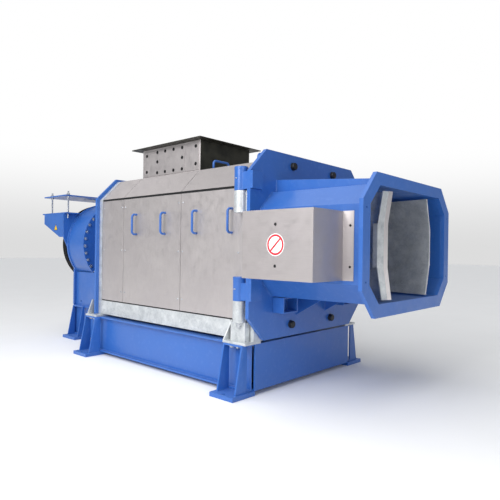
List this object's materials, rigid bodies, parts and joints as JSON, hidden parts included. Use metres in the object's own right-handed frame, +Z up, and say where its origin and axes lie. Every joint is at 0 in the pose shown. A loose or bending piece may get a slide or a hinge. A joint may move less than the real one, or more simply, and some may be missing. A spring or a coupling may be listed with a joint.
{
  "type": "screw press",
  "caption": "Dewatering screw press on a base frame with hinged octagonal discharge housing, pressing jaws, inlet chute and gear unit.",
  "frame": {"origin": "middle of the machine's box, on the floor", "axes": "+X along the screw towards the discharge, +Y to the right side seen from the drive, +Z up"},
  "size_m": [6.591, 2.76, 2.986],
  "materials": {
    "blue_paint": "glossy machine enamel",
    "stainless": "fine ground stainless sheet",
    "galvanised": "hot-dip galvanised",
    "zinc_steel": "bright zinc plate",
    "black_plastic": "moulded cap",
    "dark_steel": "oiled or black painted steel"
  },
  "bodies": {
    "press_base": {"base_side_beams": "blue_paint", "base_cross_beams": "blue_paint", "base_feet": "blue_paint", "bulkhead_feet": "galvanised", "front_bulkhead": "galvanised", "rear_bulkhead": "blue_paint", "rear_seal_frame": "galvanised", "tie_rods": "zinc_steel", "filtrate_trough": "galvanised", "drain_pipe": "galvanised", "cover_rails": "galvanised", "fixed_side_panels": "stainless", "left_covers": "stainless", "right_covers": "stainless", "chamfer_covers": "stainless", "roof_cover": "stainless", "cover_handles": "blue_paint", "cover_screws": "zinc_steel", "inlet_chute": "stainless", "chute_plates": "stainless", "chute_bolts": "dark_steel", "upper_screen": "stainless", "lower_screen": "stainless", "screen_rings": "stainless", "hinge_posts": "galvanised", "hinge_pins": "zinc_steel", "lantern_housing": "blue_paint", "shaft_bearings": "zinc_steel", "gear_drum": "blue_paint", "ring_gear": "dark_steel", "drive_console": "blue_paint", "console_plate": "blue_paint", "threaded_rods": "zinc_steel", "pedestal": "blue_paint"},
    "discharge_housing": {"front_plate": "blue_paint", "discharge_tunnel": "blue_paint", "discharge_flange": "blue_paint", "tunnel_stiffeners": "blue_paint", "hinge_knuckles": "blue_paint", "closing_bolts": "zinc_steel", "closing_caps": "black_plastic", "cylinder_guards": "stainless", "guard_screws": "zinc_steel", "jaw_cylinders": "blue_paint", "jaw_brackets": "blue_paint", "jaw_pins": "zinc_steel"},
    "left_jaw": {"left_jaw": "galvanised"},
    "right_jaw": {"right_jaw": "galvanised"},
    "left_push_rod": {"left_push_rod": "zinc_steel"},
    "right_push_rod": {"right_push_rod": "zinc_steel"},
    "screw_and_carrier": {"press_screw": "stainless", "drive_shaft": "zinc_steel", "planet_carrier": "dark_steel"},
    "planet_1": {"planet_gear_1": "dark_steel"},
    "planet_2": {"planet_gear_2": "dark_steel"},
    "planet_3": {"planet_gear_3": "dark_steel"},
    "input_shaft": {"sun_shaft": "dark_steel", "belt_pulley": "dark_steel"},
    "motor_plate": {"motor_plate": "blue_paint", "plate_nuts": "zinc_steel"}
  },
  "joints": [
    {"name": "housing_swing", "type": "hinge", "parent": "press_base", "child": "discharge_housing", "pos_m": [1.8905, -1.05, 1.59], "axis": [0, 0, -1], "range_deg": [0, 110]},
    {"name": "left_jaw_swing", "type": "hinge", "parent": "discharge_housing", "child": "left_jaw", "pos_m": [2.1645, -0.752, 1.59], "axis": [0, 0, -1], "range_deg": [-12, 10]},
    {"name": "right_jaw_swing", "type": "hinge", "parent": "discharge_housing", "child": "right_jaw", "pos_m": [2.1645, 0.752, 1.59], "axis": [0, 0, 1], "range_deg": [-12, 10]},
    {"name": "left_rod_slide", "type": "slide", "parent": "discharge_housing", "child": "left_push_rod", "axis": [0, -1, 0], "range_m": [-0.1, 0.085]},
    {"name": "right_rod_slide", "type": "slide", "parent": "discharge_housing", "child": "right_push_rod", "axis": [0, 1, 0], "range_m": [-0.1, 0.085]},
    {"name": "screw_turn", "type": "hinge", "parent": "press_base", "child": "screw_and_carrier", "pos_m": [-1.4755, 0, 1.59], "axis": [1, 0, 0], "continuous": true},
    {"name": "planet_1_turn", "type": "hinge", "parent": "screw_and_carrier", "child": "planet_1", "pos_m": [-2.2555, 0, 1.9725], "axis": [1, 0, 0], "continuous": true},
    {"name": "planet_2_turn", "type": "hinge", "parent": "screw_and_carrier", "child": "planet_2", "pos_m": [-2.2555, -0.33126, 1.39875], "axis": [1, 0, 0], "continuous": true},
    {"name": "planet_3_turn", "type": "hinge", "parent": "screw_and_carrier", "child": "planet_3", "pos_m": [-2.2555, 0.33126, 1.39875], "axis": [1, 0, 0], "continuous": true},
    {"name": "input_turn", "type": "hinge", "parent": "press_base", "child": "input_shaft", "pos_m": [-2.6755, 0, 1.59], "axis": [1, 0, 0], "continuous": true},
    {"name": "motor_plate_lift", "type": "slide", "parent": "press_base", "child": "motor_plate", "axis": [0, 0, 1], "range_m": [-0.08, 0.04]}
  ],
  "couplings": [
    {"joint": "right_jaw_swing", "follows": "left_jaw_swing", "ratio": 1},
    {"joint": "left_rod_slide", "follows": "left_jaw_swing", "m_per_rad": 0.46},
    {"joint": "right_rod_slide", "follows": "left_jaw_swing", "m_per_rad": 0.46},
    {"joint": "planet_1_turn", "follows": "screw_turn", "ratio": -2.6667},
    {"joint": "planet_2_turn", "follows": "screw_turn", "ratio": -2.6667},
    {"joint": "planet_3_turn", "follows": "screw_turn", "ratio": -2.6667},
    {"joint": "input_turn", "follows": "screw_turn", "ratio": 5}
  ]
}
